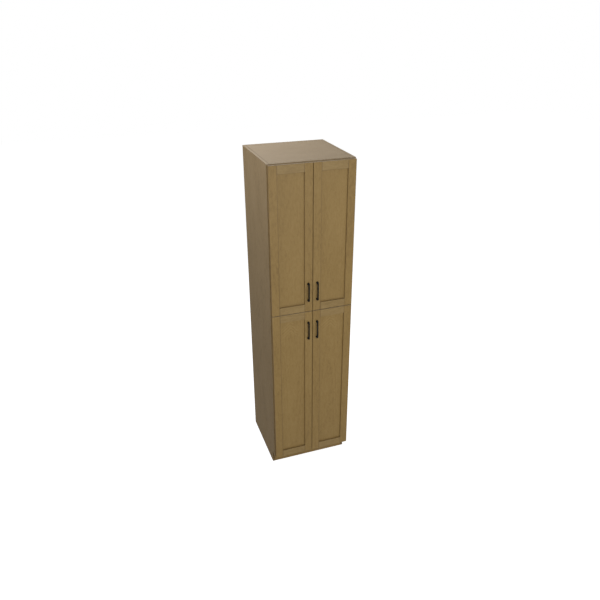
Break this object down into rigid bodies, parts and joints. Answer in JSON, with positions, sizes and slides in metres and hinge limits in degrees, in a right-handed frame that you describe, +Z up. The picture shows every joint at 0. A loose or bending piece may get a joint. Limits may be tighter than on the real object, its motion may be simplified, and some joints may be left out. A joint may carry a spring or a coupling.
{
  "type": "utility cabinet",
  "caption": "Tall free-standing wooden utility cabinet with two pairs of frame-and-panel doors, arched pulls, inner shelves and a toe space.",
  "frame": {"origin": "on the floor, midway across and midway between the fronts of the handles and the back", "axes": "+Z up, -Y the front with the doors, +X the cabinet's right as seen from the front"},
  "size_m": [0.6096, 0.6558, 2.4384],
  "materials": {
    "door_wood": "satin stained wood, vertical grain on stiles and panels",
    "frame_wood": "satin stained wood",
    "case_wood": "satin stained wood veneer",
    "inside_wood": "clear satin maple-like veneer",
    "handle": "matte black",
    "hinge_metal": "nickel plated steel",
    "pin_metal": "nickel plated steel",
    "bumper": "clear soft plastic"
  },
  "bodies": {
    "cabinet": {"left_side_panel": "case_wood", "right_side_panel": "case_wood", "top_panel": "case_wood", "bottom_panel": "inside_wood", "fixed_middle_shelf": "inside_wood", "back_panel": "inside_wood", "toe_board": "frame_wood", "upper_hanging_rail": "inside_wood", "middle_hanging_rail": "inside_wood", "left_frame_stile": "frame_wood", "right_frame_stile": "frame_wood", "frame_top_rail": "frame_wood", "frame_middle_rail": "frame_wood", "frame_bottom_rail": "frame_wood", "adjustable_shelf_1": "inside_wood", "adjustable_shelf_2": "inside_wood", "adjustable_shelf_3": "inside_wood", "shelf_pins": "pin_metal", "left_hinge_arms": "hinge_metal", "right_hinge_arms": "hinge_metal", "door_bumpers": "bumper"},
    "upper_left_door": {"upper_left_door_hinge_stile": "door_wood", "upper_left_door_meeting_stile": "door_wood", "upper_left_door_top_rail": "door_wood", "upper_left_door_bottom_rail": "door_wood", "upper_left_door_panel": "door_wood", "upper_left_door_handle": "handle", "upper_left_door_hinge_cups": "hinge_metal"},
    "upper_right_door": {"upper_right_door_hinge_stile": "door_wood", "upper_right_door_meeting_stile": "door_wood", "upper_right_door_top_rail": "door_wood", "upper_right_door_bottom_rail": "door_wood", "upper_right_door_panel": "door_wood", "upper_right_door_handle": "handle", "upper_right_door_hinge_cups": "hinge_metal"},
    "lower_left_door": {"lower_left_door_hinge_stile": "door_wood", "lower_left_door_meeting_stile": "door_wood", "lower_left_door_top_rail": "door_wood", "lower_left_door_bottom_rail": "door_wood", "lower_left_door_panel": "door_wood", "lower_left_door_handle": "handle", "lower_left_door_hinge_cups": "hinge_metal"},
    "lower_right_door": {"lower_right_door_hinge_stile": "door_wood", "lower_right_door_meeting_stile": "door_wood", "lower_right_door_top_rail": "door_wood", "lower_right_door_bottom_rail": "door_wood", "lower_right_door_panel": "door_wood", "lower_right_door_handle": "handle", "lower_right_door_hinge_cups": "hinge_metal"}
  },
  "joints": [
    {"name": "upper_left_door_hinge", "type": "hinge", "parent": "cabinet", "child": "upper_left_door", "pos_m": [-0.294, -0.29437, 1.90102], "axis": [0, 0, -1], "range_deg": [0, 105]},
    {"name": "upper_right_door_hinge", "type": "hinge", "parent": "cabinet", "child": "upper_right_door", "pos_m": [0.294, -0.29437, 1.90102], "axis": [0, 0, 1], "range_deg": [0, 105]},
    {"name": "lower_left_door_hinge", "type": "hinge", "parent": "cabinet", "child": "lower_left_door", "pos_m": [-0.294, -0.29437, 0.73705], "axis": [0, 0, -1], "range_deg": [0, 105]},
    {"name": "lower_right_door_hinge", "type": "hinge", "parent": "cabinet", "child": "lower_right_door", "pos_m": [0.294, -0.29437, 0.73705], "axis": [0, 0, 1], "range_deg": [0, 105]}
  ]
}
